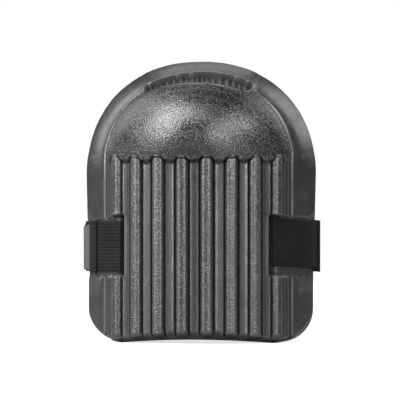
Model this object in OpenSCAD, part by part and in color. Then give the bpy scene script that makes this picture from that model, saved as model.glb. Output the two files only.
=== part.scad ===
// One-piece foam knee pad with an elastic leg strap.
// The pad stands upright on its flat lower edge, as it is worn on a straight leg:
// +Z runs up the leg, the ribbed front faces -Y and the knee goes in from +Y.
// The origin is the middle of the flat lower edge that it stands on.

/* [Pad] */
// Widest part of the pad, across the knee
pad_w = 169; // [150:1:200]
// Height of the pad along the leg
pad_h = 205; // [180:1:240]
// Width of the pad just above its lower corners
foot_w = 165; // [145:1:195]
// Depth of the smooth foam front, from the rear rim to its crest
front_depth = 56; // [50:1:62]
// Distance from the origin back to the plane of the rear rim
rim_y = 28; // [20:1:36]
// How much larger the front's radius is than half the pad's width
front_spare = 12; // [9:0.5:24]
// Height at which the upright front starts to curve back over the knee
crown_z = 120; // [105:1:135]
// Radius of the two lower corners of the outline
corner_r = 24; // [12:1:32]
// How square the top of the outline is, 2 being an ellipse
crown_power = 2.2; // [2:0.05:3]
// Height of the bevel along the lower front edge
bevel_h = 9; // [4:0.5:14]
// How far that bevel goes back
bevel_depth = 8; // [4:0.5:12]

/* [Knee cup] */
// Foam thickness at the crest of the front
foam_t = 16; // [12:0.5:22]
// Thickness of the rim below the cup
cup_floor = 14; // [8:1:24]
// Radius of the shin notch in the lower rear rim
shin_r = 60; // [45:1:75]
// Depth of the shin notch
shin_notch = 12; // [6:1:18]

/* [Ribs] */
// Number of upright ridges
rib_count = 8; // [4:2:10]
// Distance from one ridge to the next, round the front
rib_pitch = 18.6; // [14:0.2:20]
// Width of the groove between two ridges
groove_w = 7.5; // [4:0.5:9]
// Height of the ridges above the foam
rib_height = 3.5; // [2:0.5:5]
// Height at which the ridges meet the dome
rib_top = 131; // [110:1:145]
// Height at which the ridges start above the lower edge
rib_foot = 5; // [3:1:12]

/* [Dome] */
// Half the width of the dome
dome_half_w = 67; // [55:1:72]
// How far below its lower edge the dome stands furthest forward
dome_drop = 6; // [0:1:12]
// Height of the dome's upper edge
dome_top = 190; // [160:1:196]
// How far the dome stands proud of the foam at its crest
dome_proud = 4; // [2:0.5:7]
// Width of the curved recess above the dome
recess_w = 80; // [50:1:100]
// Height of that recess
recess_h = 6.5; // [4:0.5:9]
// Depth of that recess below the rim
recess_depth = 4; // [2:0.5:6]
// Number of pleats in the recess
pleat_count = 15; // [7:2:21]

/* [Straps] */
// Width of the elastic webbing
web_w = 38; // [25:1:50]
// Thickness of the elastic webbing
web_t = 1.4; // [1:0.1:2.2]
// Height of the strap's middle line above the lower edge
strap_z = 71; // [50:1:95]
// Distance from the middle of the pad to the strap slits
slit_x = 56.5; // [45:0.5:62]
// Width of a strap slit
slit_w = 3; // [2.4:0.1:4]
// Depth of the strap channels below the foam
channel_depth = 1; // [0.5:0.5:3]
// How far the strap stands behind the rear rim
strap_reach = 45; // [30:1:60]
// How square the strap's path behind the leg is, 2 being an ellipse
strap_power = 2.6; // [2:0.1:3.2]
// Width of the folded hem on the left loop
hem_w = 5; // [3:0.5:8]
// Height of that hem above the webbing
hem_t = 1.2; // [0.8:0.1:2]
// Distance from the side of the pad to that hem
hem_inset = 4; // [2:0.5:8]
// How far the long strap laps over the right loop, in front of the rear rim
strap_lap = 5; // [3:0.5:10]

/* [Fastening] */
// Thickness of the fastening tape on the left
tape_t = 1; // [0.8:0.1:1.6]
// Where the fastening tape ends, in degrees round the strap's path
tape_end = 117; // [99:3:135]
// Thickness of the hook tape
hook_t = 1; // [0.8:0.1:1.6]
// Where the hook tape and the strap end, in degrees round the strap's path
strap_end = 162; // [150:3:165]
// Where the hook tape starts, in degrees round the strap's path
hook_start = 126; // [105:3:135]
// Width of the hook tape
hook_w = 32; // [20:1:38]
// Radius of the sewing thread
thread_r = 0.35; // [0.2:0.05:0.5]
// Length of one stitch
stitch_l = 2.4; // [1.5:0.1:4]
// Distance from one stitch to the next
stitch_pitch = 3.4; // [2:0.1:6]
// Distance from the strap's front end to each row of stitches that joins it to the right loop
anchor_rows = [1, 6];

/* [Fits] */
// Gap between two straps, or between a strap and the foam
gap = 0.3; // [0.2:0.05:0.6]
// Gap above and below a strap in its channel and slit
side_gap = 2; // [1:0.5:4]
// Gap between a row of stitches and the webbing that it lies on
stitch_gap = 0.05; // [0.02:0.01:0.1]

/* [Hidden] */
$fn = 96;

foam = "#4b4c4e";
elastic = "#26272a";
tape_grey = "#5d5f63";
hook_black = "#303135";
thread_black = "#18191b";

front_r = pad_w / 2 + front_spare;          // radius of the smooth foam front round the leg
arc_behind = front_r - front_depth;         // how far the front's axis lies behind the rear rim
arc_y = rim_y + arc_behind;
cup_r = front_r - foam_t;                   // inner radius of the knee cup
cup_mouth = sqrt(cup_r * cup_r - arc_behind * arc_behind);
crown_h = pad_h - crown_z;
dome_z = rib_top - dome_drop;                  // height at which the dome stands furthest forward
dome_r = front_r + dome_proud;
rib_r = front_r + rib_height;
channel_r = front_r - channel_depth;
channel_h = web_w + 2 * side_gap;
reach = front_r + pad_w;                    // larger than the pad, for cutting tools
edge_steps = 40;                            // points along a curved outline

// Half the width of the straight flank at a height
function flank(z) = foot_w / 2 + (pad_w - foot_w) / 2 * (z - corner_r) / (crown_z - corner_r);

// A point on a squared ellipse with half axes a and b
function squared(a, b, power, angle) =
    [sign(cos(angle)) * a * pow(abs(cos(angle)), 2 / power),
     sign(sin(angle)) * b * pow(abs(sin(angle)), 2 / power)];

// Its outward direction at that point
function squared_out(a, b, power, angle) =
    let (p = squared(a, b, power, angle),
         n = [sign(p.x) * pow(abs(p.x / a), power - 1) / a,
              sign(p.y) * pow(abs(p.y / b), power - 1) / b])
    n / norm(n);

// The arch formed by the top of the pad or of the dome
function arch(half_w, rise, base_z) =
    [for (i = [0 : edge_steps])
        squared(half_w, rise, crown_power, 180 * i / edge_steps) + [0, base_z]];

// One lower corner of the outline: side is 1 on the right and -1 on the left
function corner(side) =
    let (c = [side * (foot_w / 2 - corner_r), corner_r])
    [for (i = [0 : 10]) c + corner_r * [side * cos(9 * i), -sin(9 * i)]];

function reversed(list) = [for (i = [len(list) - 1 : -1 : 0]) list[i]];

// Straps are flat strips that run round the leg, so each is a plan outline raised to its width.
side_x = flank(strap_z + web_w / 2);                   // side of the foam that a loop goes round
strap_half = side_x + gap + web_t;                     // outer face of either loop
hinge_x = strap_half + gap + web_t / 2;                // middle of the long strap at the right
tape_x = strap_half + gap + tape_t / 2;                // middle of the tape at the left
lap = web_t / 2 + hook_t + gap + tape_t / 2;           // strap's middle to tape's middle
hinge_y = rim_y - strap_lap;                            // front end of the long strap
wrap_y = rim_y + gap + web_t;                          // where the path starts to bend round the leg
wrap_a = (hinge_x + tape_x + lap) / 2;
wrap_x = (hinge_x - tape_x - lap) / 2;
wrap_b = rim_y + strap_reach - wrap_y - web_t / 2;
wrap_step = 3;

function wrap_point(angle, out) =
    [wrap_x, wrap_y] + squared(wrap_a, wrap_b, strap_power, angle)
    + out * squared_out(wrap_a, wrap_b, strap_power, angle);

// A length of the path round the leg, from one angle to another, moved outwards
function wrap_line(from, to, out) =
    [for (i = [0 : ceil((to - from) / wrap_step)])
        wrap_point(min(to, from + i * wrap_step), out)];

function strip(from, to, inner, outer) =
    concat(wrap_line(from, to, inner), reversed(wrap_line(from, to, outer)));

// A length of an arc round the pad's front, at radius r, between two places across the pad
function front_line(x0, x1, r) =
    [for (i = [0 : 8])
        let (x = x0 + (x1 - x0) * i / 8) [x, arc_y - sqrt(r * r - x * x)]];

// The folded hem sits where the left loop turns over the side of the pad
hem_x = side_x - hem_inset;                            // outer edge of the hem
loop_r = channel_r + gap + web_t;                      // outer face of a loop, over the front
tape_r = loop_r + gap + tape_t / 2;
tape_hinge = [-hem_x - 1, arc_y - sqrt(tape_r * tape_r - pow(hem_x + 1, 2))];

module outline() {
    polygon(concat(arch(pad_w / 2, crown_h, crown_z), corner(-1), reversed(corner(1))));
}

module dome_outline() {
    polygon(arch(dome_half_w, dome_top - rib_top, rib_top));
}

// Raises a front-view outline into a block that runs from the rear rim forwards
module through(depth) {
    translate([0, rim_y, 0]) rotate([90, 0, 0]) linear_extrude(depth) children();
}

// The curved front: upright at the shin, then curved back over the knee
module front_shell(r, foot_r) {
    translate([0, arc_y, 0]) {
        cylinder(h = bevel_h, r1 = foot_r, r2 = r);
        translate([0, 0, bevel_h]) cylinder(h = crown_z - bevel_h, r = r);
        translate([0, 0, crown_z]) sphere(r = r);
    }
}

module ridges() {
    rib_angle = rib_pitch / rib_r * 180 / PI;
    groove_angle = groove_w / rib_r * 180 / PI;
    half_angle = (rib_angle - groove_angle) / 2;
    for (i = [0 : rib_count - 1]) {
        turn = (i - (rib_count - 1) / 2) * rib_angle;
        translate([0, arc_y, rib_foot]) rotate(turn) linear_extrude(rib_top - rib_foot + 2)
            polygon([[-rib_r * sin(half_angle), -rib_r * cos(half_angle)],
                     [0, -rib_r],
                     [rib_r * sin(half_angle), -rib_r * cos(half_angle)],
                     [(rib_r - 10) * sin(half_angle), -rib_r + 10],
                     [-(rib_r - 10) * sin(half_angle), -rib_r + 10]]);
    }
}

module dome() {
    intersection() {
        translate([0, arc_y, dome_z]) sphere(r = dome_r);
        through(reach) dome_outline();
    }
}

module cup() {
    floor_z = cup_floor + cup_mouth;
    translate([0, arc_y, 0]) {
        translate([0, 0, floor_z]) sphere(r = cup_r);
        translate([0, 0, floor_z]) cylinder(h = crown_z - floor_z, r = cup_r);
        translate([0, 0, crown_z]) sphere(r = cup_r);
    }
}

// The curved recess above the dome, with a row of pleats standing in it
module recess() {
    mid_r = dome_top - crown_z + recess_h / 2;
    floor_r = front_r - recess_depth;
    pleat_angle = recess_w / (pleat_count + 1) / mid_r * 180 / PI;
    difference() {
        intersection() {
            translate([0, rim_y, crown_z]) rotate([90, 0, 0]) difference() {
                cylinder(h = reach, r = mid_r + recess_h / 2);
                translate([0, 0, -1]) cylinder(h = reach + 2, r = mid_r - recess_h / 2);
            }
            translate([-recess_w / 2, -reach, crown_z]) cube([recess_w, reach, pad_h]);
        }
        translate([0, arc_y, crown_z]) sphere(r = floor_r);
        for (i = [0 : pleat_count - 1])
            translate([0, 0, crown_z]) rotate([0, (i - (pleat_count - 1) / 2) * pleat_angle, 0])
                translate([0, arc_y, 0]) intersection() {
                    sphere(r = floor_r + recess_depth / 2);
                    translate([-1, -reach, 0]) cube([2, reach, pad_h]);
                }
    }
}

module slits() {
    for (side = [-1, 1]) {
        translate([side > 0 ? slit_x - slit_w : -slit_x, rim_y - reach, strap_z - channel_h / 2])
            cube([slit_w, reach + 1, channel_h]);
        // the pocket inside the cup that the loop's inner run lies in
        intersection() {
            translate([0, arc_y, strap_z - channel_h / 2]) cylinder(h = channel_h, r = cup_r);
            translate([side > 0 ? slit_x - slit_w : slit_w - slit_x - reach, rim_y - reach, 0])
                cube([reach, reach + 1, pad_h]);
        }
        // the channel that the loop lies in, from the slit out over the side
        difference() {
            translate([side > 0 ? slit_x - 1 : 1 - slit_x - reach, rim_y - reach, strap_z - channel_h / 2])
                cube([reach, reach + 1, channel_h]);
            translate([0, arc_y, 0]) cylinder(h = pad_h, r = channel_r);
        }
    }
}

module pad_body() {
    color(foam) difference() {
        intersection() {
            union() {
                front_shell(front_r, front_r - bevel_depth);
                intersection() {
                    ridges();
                    front_shell(rib_r, rib_r - bevel_depth);
                }
                dome();
            }
            through(reach) outline();
        }
        cup();
        translate([0, rim_y + shin_r - shin_notch, -1]) cylinder(h = cup_floor * 3, r = shin_r);
        recess();
        slits();
    }
}

// Plan of the foam between a slit and the side of the pad, which a loop goes round, grown all round
module bar_plan(grow) {
    intersection() {
        difference() {
            translate([0, arc_y]) circle(r = channel_r + grow);
            translate([0, arc_y]) circle(r = cup_r - grow);
        }
        translate([slit_x - grow, rim_y + grow - reach]) square([side_x - slit_x + 2 * grow, reach]);
    }
}

module loop_plan() {
    difference() {
        bar_plan(gap + web_t);
        bar_plan(gap);
    }
}

module right_loop() {
    color(elastic) translate([0, 0, strap_z - web_w / 2]) linear_extrude(web_w) loop_plan();
}

module left_loop() {
    color(elastic) translate([0, 0, strap_z - web_w / 2]) {
        linear_extrude(web_w) mirror([1, 0]) loop_plan();
        linear_extrude(web_w) polygon(concat(front_line(-hem_x, -hem_x + hem_w, loop_r - web_t / 2),
            reversed(front_line(-hem_x + 0.6, -hem_x + hem_w - 0.6, loop_r + hem_t))));
    }
}

// A row of upright stitches, centred on the strap's middle line
module stitch_row(length) {
    count = floor(length / stitch_pitch);
    for (i = [0 : count - 1])
        translate([0, 0, strap_z + (i - (count - 1) / 2) * stitch_pitch - stitch_l / 2])
            cylinder(h = stitch_l, r = thread_r, $fn = 16);
}

module hem_stitching() {
    stitch_r = loop_r + hem_t + thread_r + stitch_gap;
    x = hem_x - hem_w / 2;
    color(thread_black) translate([-x, arc_y - sqrt(stitch_r * stitch_r - x * x), 0])
        stitch_row(web_w - 2);
}

module long_strap() {
    color(elastic) translate([0, 0, strap_z - web_w / 2]) {
        linear_extrude(web_w) polygon(concat([[hinge_x + web_t / 2, hinge_y], [hinge_x - web_t / 2, hinge_y]],
                                             strip(0, strap_end, -web_t / 2, web_t / 2)));
        translate([hinge_x, hinge_y, 0]) cylinder(h = web_w, r = web_t / 2);
    }
}

// Two rows of stitches on the outer face of the strap, where it is sewn to the right loop
module anchor_stitching() {
    color(thread_black) for (y = anchor_rows)
        translate([hinge_x + web_t / 2 + thread_r + stitch_gap, hinge_y + y, 0]) stitch_row(web_w - 4);
}

module hook_tape() {
    color(hook_black) translate([0, 0, strap_z - hook_w / 2]) linear_extrude(hook_w)
        polygon(strip(hook_start, strap_end, -web_t / 2 - hook_t, -web_t / 2));
}

// Stitches on the outer face of the strap, in a row at each end of the hook tape
module hook_stitching() {
    color(thread_black) for (angle = [hook_start + 2, strap_end - 2]) {
        p = wrap_point(angle, web_t / 2 + thread_r + stitch_gap);
        translate([p.x, p.y, 0]) stitch_row(hook_w);
    }
}

module loop_tape() {
    x_edge = -tape_x;
    color(tape_grey) translate([0, 0, strap_z - web_w / 2]) {
        linear_extrude(web_w) polygon(concat(
            front_line(tape_hinge.x, x_edge - tape_t / 2, tape_r + tape_t / 2),
            reversed(wrap_line(tape_end, 180, tape_t / 2 - lap)),
            wrap_line(tape_end, 180, -tape_t / 2 - lap),
            front_line(x_edge + tape_t / 2, tape_hinge.x, tape_r - tape_t / 2)));
        translate([tape_hinge.x, tape_hinge.y, 0]) cylinder(h = web_w, r = tape_t / 2);
    }
}

// Stitches on the inner face of the tape, near its free end
module tape_stitching() {
    p = wrap_point(tape_end + 4, -lap - tape_t / 2 - thread_r - stitch_gap);
    color(thread_black) translate([p.x, p.y, 0]) stitch_row(web_w - 4);
}

pad_body();
right_loop();
left_loop();
hem_stitching();
long_strap();
anchor_stitching();
hook_tape();
hook_stitching();
loop_tape();
tape_stitching();
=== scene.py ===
"""Foam knee pad with an elastic leg strap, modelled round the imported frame.

Lengths are in metres, in the frame's own axes: +Z up the leg, -Y out of the ribbed front.
"""

from __future__ import annotations

import logging
import math
from dataclasses import dataclass, field
from enum import Enum

import bmesh
import bpy
import numpy as np
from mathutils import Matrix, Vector


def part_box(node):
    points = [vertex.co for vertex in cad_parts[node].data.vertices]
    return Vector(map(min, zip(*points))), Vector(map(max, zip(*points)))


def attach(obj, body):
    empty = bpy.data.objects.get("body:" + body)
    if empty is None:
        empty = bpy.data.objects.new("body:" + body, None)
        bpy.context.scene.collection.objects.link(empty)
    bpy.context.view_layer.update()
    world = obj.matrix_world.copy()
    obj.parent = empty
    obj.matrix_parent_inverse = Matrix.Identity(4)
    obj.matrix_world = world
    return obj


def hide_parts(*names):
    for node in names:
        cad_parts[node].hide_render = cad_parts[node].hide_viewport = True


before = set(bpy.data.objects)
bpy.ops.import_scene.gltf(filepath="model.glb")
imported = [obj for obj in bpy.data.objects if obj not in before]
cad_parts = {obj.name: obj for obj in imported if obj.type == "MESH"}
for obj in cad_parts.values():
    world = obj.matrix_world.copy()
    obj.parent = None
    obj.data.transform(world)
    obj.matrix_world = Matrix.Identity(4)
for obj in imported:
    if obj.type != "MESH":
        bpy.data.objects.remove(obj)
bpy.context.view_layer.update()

MM = 0.001
log = logging.getLogger("knee_pad")


# ---------------------------------------------------------------- mesh helpers


def deselect_all() -> None:
    """Clears the selection, because operators act on all that is selected."""
    bpy.ops.object.select_all(action="DESELECT")


def activate(piece: bpy.types.Object) -> None:
    """Makes one object the only selected and the active one.

    Args:
        piece: What the next operators act on.
    """
    deselect_all()
    piece.select_set(True)
    bpy.context.view_layer.objects.active = piece


def smooth_step(value: np.ndarray, low: float, high: float) -> np.ndarray:
    """Rises smoothly from 0 at low to 1 at high.

    Args:
        value: Where to evaluate.
        low: Where the rise starts.
        high: Where it ends; it may be less than low, which gives a fall.

    Returns:
        The eased values.
    """
    t = np.clip((value - low) / (high - low), 0.0, 1.0)
    return t * t * (3.0 - 2.0 * t)


def soft_min(a: np.ndarray, b: np.ndarray, blend: float) -> np.ndarray:
    """The lesser of two surfaces, with a fillet of about the blend length where they cross."""
    gap = np.clip(0.5 + 0.5 * (b - a) / blend, 0.0, 1.0)
    return b * (1.0 - gap) + a * gap - blend * gap * (1.0 - gap)


def ripple(x: np.ndarray, z: np.ndarray, size: float, seed: float) -> np.ndarray:
    """A gentle, repeatable unevenness between about -1 and 1.

    Args:
        x: Places across the piece.
        z: Places up the piece.
        size: Typical distance between two bumps.
        seed: Shifts the pattern.

    Returns:
        One value per place.
    """
    k = 2.0 * math.pi / size
    first = np.sin(k * x + 1.7 * seed) * np.sin(0.83 * k * z + 2.3 * seed)
    second = np.sin(1.61 * k * (x + 0.6 * z) + 4.1 * seed)
    third = np.sin(2.37 * k * (z - 0.5 * x) + 0.9 * seed)
    return (first + 0.6 * second + 0.4 * third) / 2.0


def grid_piece(
    name: str,
    points: np.ndarray,
    uv: np.ndarray | None = None,
    marks: dict[str, np.ndarray] | None = None,
) -> bpy.types.Object:
    """Adds a primitive grid and lays its vertices on the given points.

    Args:
        name: The new object's name.
        points: Rows by columns by 3 places; a closed direction repeats its first line at its end.
        uv: Rows by columns by 2 surface coordinates, or None.
        marks: Named values for the finish to read, each rows by columns.

    Returns:
        The new object, at the origin, with its meeting edges not yet welded.
    """
    rows, cols = points.shape[:2]
    deselect_all()
    bpy.ops.mesh.primitive_grid_add(x_subdivisions=cols - 1, y_subdivisions=rows - 1, size=1.0)
    piece = bpy.context.active_object
    piece.name = name
    mesh = piece.data
    mesh.name = name
    mesh.vertices.foreach_set("co", points.reshape(-1).astype(np.float32))
    if uv is not None:
        corner_vertex = np.empty(len(mesh.loops), dtype=np.int32)
        mesh.loops.foreach_get("vertex_index", corner_vertex)
        laid = uv.reshape(-1, 2)[corner_vertex].reshape(-1)
        mesh.uv_layers.active.data.foreach_set("uv", laid.astype(np.float32))
    for mark, values in (marks or {}).items():
        layer = mesh.attributes.new(mark, "FLOAT", "POINT")
        layer.data.foreach_set("value", values.reshape(-1).astype(np.float32))
    mesh.update()
    return piece


def weld(piece: bpy.types.Object, distance: float = 2e-6) -> None:
    """Merges the vertices that meet, caps what is still open and turns all faces outwards.

    Args:
        piece: What to close.
        distance: How near two vertices are to be merged.
    """
    activate(piece)
    bpy.ops.object.mode_set(mode="EDIT")
    bpy.ops.mesh.select_mode(type="EDGE")
    bpy.ops.mesh.select_all(action="SELECT")
    bpy.ops.mesh.remove_doubles(threshold=distance)
    bpy.ops.mesh.dissolve_degenerate(threshold=distance)
    bpy.ops.mesh.select_all(action="DESELECT")
    bpy.ops.mesh.select_non_manifold(
        extend=False, use_wire=False, use_boundary=True, use_multi_face=False,
        use_non_contiguous=False, use_verts=False,
    )
    bpy.ops.mesh.fill_holes(sides=0)
    bpy.ops.mesh.select_all(action="SELECT")
    bpy.ops.mesh.normals_make_consistent(inside=False)
    bpy.ops.mesh.select_mode(type="VERT")
    bpy.ops.object.mode_set(mode="OBJECT")


def smooth(piece: bpy.types.Object, degrees: float) -> None:
    """Shades a piece smooth, apart from edges sharper than the angle."""
    activate(piece)
    bpy.ops.object.shade_smooth_by_angle(angle=math.radians(degrees))


def join(pieces: list[bpy.types.Object], name: str) -> bpy.types.Object:
    """Joins pieces into one object.

    Args:
        pieces: What to join; they cease to exist on their own.
        name: The joined object's name.

    Returns:
        The joined object.
    """
    deselect_all()
    for piece in pieces:
        piece.select_set(True)
    bpy.context.view_layer.objects.active = pieces[0]
    if len(pieces) > 1:
        bpy.ops.object.join()
    joined = bpy.context.active_object
    joined.name = name
    joined.data.name = name
    return joined


def dress(piece: bpy.types.Object, material: bpy.types.Material) -> None:
    """Gives a piece its only material.

    Args:
        piece: What to give it to.
        material: The material.
    """
    piece.data.materials.clear()
    piece.data.materials.append(material)


# ---------------------------------------------------------------- plan routes


def resample(points: np.ndarray, count: int) -> np.ndarray:
    """Spaces points evenly along a route.

    Args:
        points: The route's places.
        count: How many are wanted.

    Returns:
        count by 2 places, with the same ends.
    """
    step = np.linalg.norm(np.diff(points, axis=0), axis=1)
    keep = np.concatenate([[True], step > 1e-7])
    points = points[keep]
    along = np.concatenate([[0.0], np.cumsum(np.linalg.norm(np.diff(points, axis=0), axis=1))])
    at = np.linspace(0.0, along[-1], count)
    return np.stack([np.interp(at, along, points[:, k]) for k in range(2)], axis=1)


def outward(route: np.ndarray, closed: bool) -> np.ndarray:
    """The direction to the right of travel at each point of a route.

    Args:
        route: Places in plan.
        closed: Whether the last place repeats the first.

    Returns:
        Unit directions, one per place.
    """
    if closed:
        ring = route[:-1]
        along = np.roll(ring, -1, axis=0) - np.roll(ring, 1, axis=0)
        along = np.concatenate([along, along[:1]])
    else:
        along = np.gradient(route, axis=0)
    along /= np.linalg.norm(along, axis=1)[:, None]
    return np.stack([along[:, 1], -along[:, 0]], axis=1)


# ---------------------------------------------------------------- the foam pad


@dataclass
class PadShape:
    """The moulded foam pad: a curved shell with ridges, a dome, a recess and a knee cup."""

    high: Vector = field(default_factory=lambda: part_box("pad_body")[1])
    front_r: float = 96.5 * MM
    front_depth: float = 56.0 * MM
    foam: float = 16.0 * MM
    panel: float = 69.5 * MM
    flank_z: float = 120.0 * MM
    crown_z: float = 139.0 * MM
    foot_half: float = 82.5 * MM
    corner_r: float = 24.0 * MM
    power: float = 2.2
    foot_bow: float = 2.9 * MM
    bevel_h: float = 6.8 * MM
    bevel_in: float = 6.5 * MM
    bevel_fade: float = 3.6 * MM
    rim_round: float = 3.6 * MM
    cup_floor: float = 14.0 * MM
    cup_fillet: float = 7.0 * MM
    shin_r: float = 60.0 * MM
    shin_notch: float = 12.0 * MM
    rib_pitch: float = 18.6 * MM
    rib_half: float = 4.9 * MM
    rib_height: float = 3.5 * MM
    rib_count: int = 8
    slot_depth: float = 1.9 * MM
    band_top: float = 129.8 * MM
    lip_rise: float = 3.2 * MM
    tip_rise: float = 5.6 * MM
    dome_edge: float = 3.4 * MM
    dome_bulge: float = 5.2 * MM
    dome_middle: float = 158.0 * MM
    dome_wide: float = 70.0 * MM
    dome_tall: float = 35.0 * MM
    dome_ring: float = 0.797
    crease: float = 1.0 * MM
    rim_step: float = 0.9 * MM
    arris_rise: float = 0.28 * MM
    edge_rise: float = 0.25 * MM
    recess_top: float = 196.9 * MM
    recess_low: float = 188.9 * MM
    recess_half: float = 39.4 * MM
    recess_top_bow: float = 8.6 * MM
    recess_low_bow: float = 6.8 * MM
    recess_depth: float = 4.0 * MM
    pleat_rise: float = 3.4 * MM
    lip_height: float = 0.7 * MM
    moat_depth: float = 8.0 * MM
    moat_width: float = 1.0 * MM
    pleat_pitch: float = 4.4 * MM
    strap_low: float = 50.0 * MM
    strap_high: float = 92.0 * MM
    slit_from: float = 53.5 * MM
    slit_to: float = 56.5 * MM
    channel: float = 1.0 * MM
    slit_start: float = 8.0 * MM
    border_end: float = 76.5 * MM
    edge_band: float = 3.0 * MM
    rear_lead: float = 5.0 * MM
    back_grain: float = 0.8
    foot_grain: float = 0.45

    def __post_init__(self) -> None:
        """Works out what follows from the frame and the driving sizes."""
        self.rim_y = self.high.y
        self.half = self.high.x
        self.top = self.high.z
        self.axis_y = self.rim_y + self.front_r - self.front_depth
        self.cup_r = self.front_r - self.foam
        behind = self.axis_y - self.rim_y + self.rear_lead
        self.edge_reach = math.sqrt(self.front_r**2 - behind**2)
        self.crown_half = float(self.flank(np.array([self.crown_z]))[0])

    def flank(self, z: np.ndarray) -> np.ndarray:
        """Half the pad's width at each height, without its lower corners.

        Args:
            z: Heights.

        Returns:
            Half the width at each height.
        """
        low = self.corner_r
        taper = np.clip((z - low) / (self.flank_z - low), 0.0, 1.0)
        straight = self.foot_half + (self.half - self.foot_half) * taper
        rise = np.clip((z - self.flank_z) / (self.top - self.flank_z), 0.0, 1.0)
        return straight * (1.0 - rise**self.power) ** (1.0 / self.power)

    def foot(self, x: np.ndarray, inset: float = 0.0) -> np.ndarray:
        """Height of the pad's lower edge at each place across it, moved inwards by the inset.

        Args:
            x: Places across.
            inset: How far inwards the edge is moved.

        Returns:
            Heights of the edge.
        """
        flat = self.foot_half - self.corner_r
        radius = self.corner_r - inset
        out = np.clip(np.abs(x) - flat, 0.0, radius)
        bow = self.foot_bow * np.clip(1.0 - (x / flat) ** 2, 0.0, 1.0)
        return bow + self.corner_r - np.sqrt(radius**2 - out**2)

    def columns(self) -> np.ndarray:
        """Shares of the half width with mesh lines, closest at the ridges' edges.

        Returns:
            Shares from 0 at the middle to 1 at the outline.
        """
        offsets = np.array([0.0, 1.5, 2.8, 3.7, 4.3, 4.65, 4.9, 5.15, 5.4, 5.7, 6.0, 6.5, 7.6]) * MM
        middles = (np.arange(self.rib_count // 2) + 0.5) * self.rib_pitch
        both = np.concatenate([-offsets[::-1], offsets[1:]])
        ridges = (middles[:, None] + both[None, :]).reshape(-1)
        grooves = np.arange(self.rib_count // 2 + 1) * self.rib_pitch
        arcs = np.sort(np.concatenate([ridges, grooves]))
        panel = self.front_r * np.sin(arcs / (self.front_r + self.rib_height))
        border = np.linspace(panel[-1], self.border_end, 21)[1:]
        outer = np.linspace(self.border_end, self.crown_half - self.edge_band, 6)[1:]
        edge = self.crown_half - self.edge_band * np.array([0.72, 0.5, 0.32, 0.18, 0.08, 0.0])
        return np.concatenate([panel, border, outer, edge]) / self.crown_half

    def levels(self) -> np.ndarray:
        """Heights of the mesh's rows below the crown, closest where the relief ends.

        Returns:
            Heights, from the foot up.
        """
        stretches = [
            (0.0, 12.0, 14), (12.0, 44.0, 6), (44.0, 56.0, 14), (56.0, 86.0, 5),
            (86.0, 97.0, 13), (97.0, 126.0, 5), (126.0, 138.4, 23),
        ]
        rows = [np.linspace(a, b, n, endpoint=False) for a, b, n in stretches]
        return np.concatenate(rows + [[138.4]]) * MM

    def rays(self, start: float) -> np.ndarray:
        """Angles round the crown in radians, closest at the recess.

        Args:
            start: Angle of the crown's lower end.

        Returns:
            Angles from the left end to the right.
        """
        side = np.linspace(start, math.radians(52.0), 27, endpoint=False)
        over = np.linspace(math.radians(52.0), math.radians(128.0), 118)
        return np.concatenate([math.pi - side, over[::-1], side[::-1]])

    def plan(self, share: np.ndarray, inset: float) -> tuple[np.ndarray, np.ndarray, np.ndarray]:
        """Front-view places of the mesh: up the left, over the crown and down the right.

        Args:
            share: How far out each mesh line lies, from 0 at the middle to 1 at the outline.
            inset: How far inside the pad's outline the mesh's own outline lies.

        Returns:
            Places across, heights, and distances from the middle that the depth follows.
        """
        level = self.levels()[:, None]
        crown_half = self.crown_half - inset
        reach = (share * crown_half)[None, :]
        spread = (self.flank(level) - inset - self.panel) / (crown_half - self.panel)
        x = np.where(reach <= self.panel, reach, self.panel + (reach - self.panel) * spread)
        foot = self.foot(x, inset)
        z = foot + (self.crown_z - foot) * level / self.crown_z
        rise = self.top - self.flank_z - inset
        start = math.asin(((self.crown_z - self.flank_z) / rise) ** (self.power / 2.0))
        angle = self.rays(start)[:, None]
        across = np.sign(np.cos(angle)) * np.abs(np.cos(angle)) ** (2.0 / self.power)
        across = across / across[-1] * crown_half
        up = np.abs(np.sin(angle)) ** (2.0 / self.power) * rise + self.flank_z
        ray_x = share[None, :] * across
        ray_z = self.crown_z + share[None, :] * (up - self.crown_z)
        places = np.concatenate([-x, ray_x, x[::-1]])
        heights = np.concatenate([z, ray_z, z[::-1]])
        width = self.flank(level) - inset
        above = np.clip(level - self.flank_z, 0.0, None)
        lower_reach = x * np.minimum(np.hypot(width, above), self.edge_reach) / width
        crown_reach = np.minimum(np.hypot(across, up - self.flank_z), self.edge_reach)
        upper_reach = share[None, :] * crown_reach
        return places, heights, np.concatenate([lower_reach, upper_reach, lower_reach[::-1]])

    def relief(self, x: np.ndarray, z: np.ndarray, share: np.ndarray) -> np.ndarray:
        """How far the front stands out from, or sinks into, the plain curved shell.

        Args:
            x: Places across.
            z: Heights.
            share: How far out each mesh line lies.

        Returns:
            Heights of the relief along the shell's outward direction.
        """
        inside = (self.dome_ring - share[None, :]) * self.crown_half + 0.0 * x
        h = self.panel_relief(x, z, inside)
        h = self.cut_recess(h, x, z)
        h = self.cut_channels(h, x, z)
        gap = z - self.foot(x)
        across = np.clip(np.abs(x) / (62.0 * MM), 0.0, 1.0)
        bevel = self.bevel_h - self.bevel_fade * across**2
        lean = np.clip(1.0 - (gap + 0.3 * MM) / bevel, 0.0, 1.0)
        h = h - self.bevel_in * lean**1.15 * self.bevel_share(x)
        h = h + 0.14 * MM * ripple(x, z, 46.0 * MM, 1.0)
        return h + 0.05 * MM * ripple(x, z, 13.0 * MM, 5.0)

    def round_front(self, x: np.ndarray) -> np.ndarray:
        """Distances from the middle round the ridges' tops."""
        turn = np.arcsin(np.clip(np.abs(x) / self.front_r, 0.0, 0.99))
        return (self.front_r + self.rib_height) * turn

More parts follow.
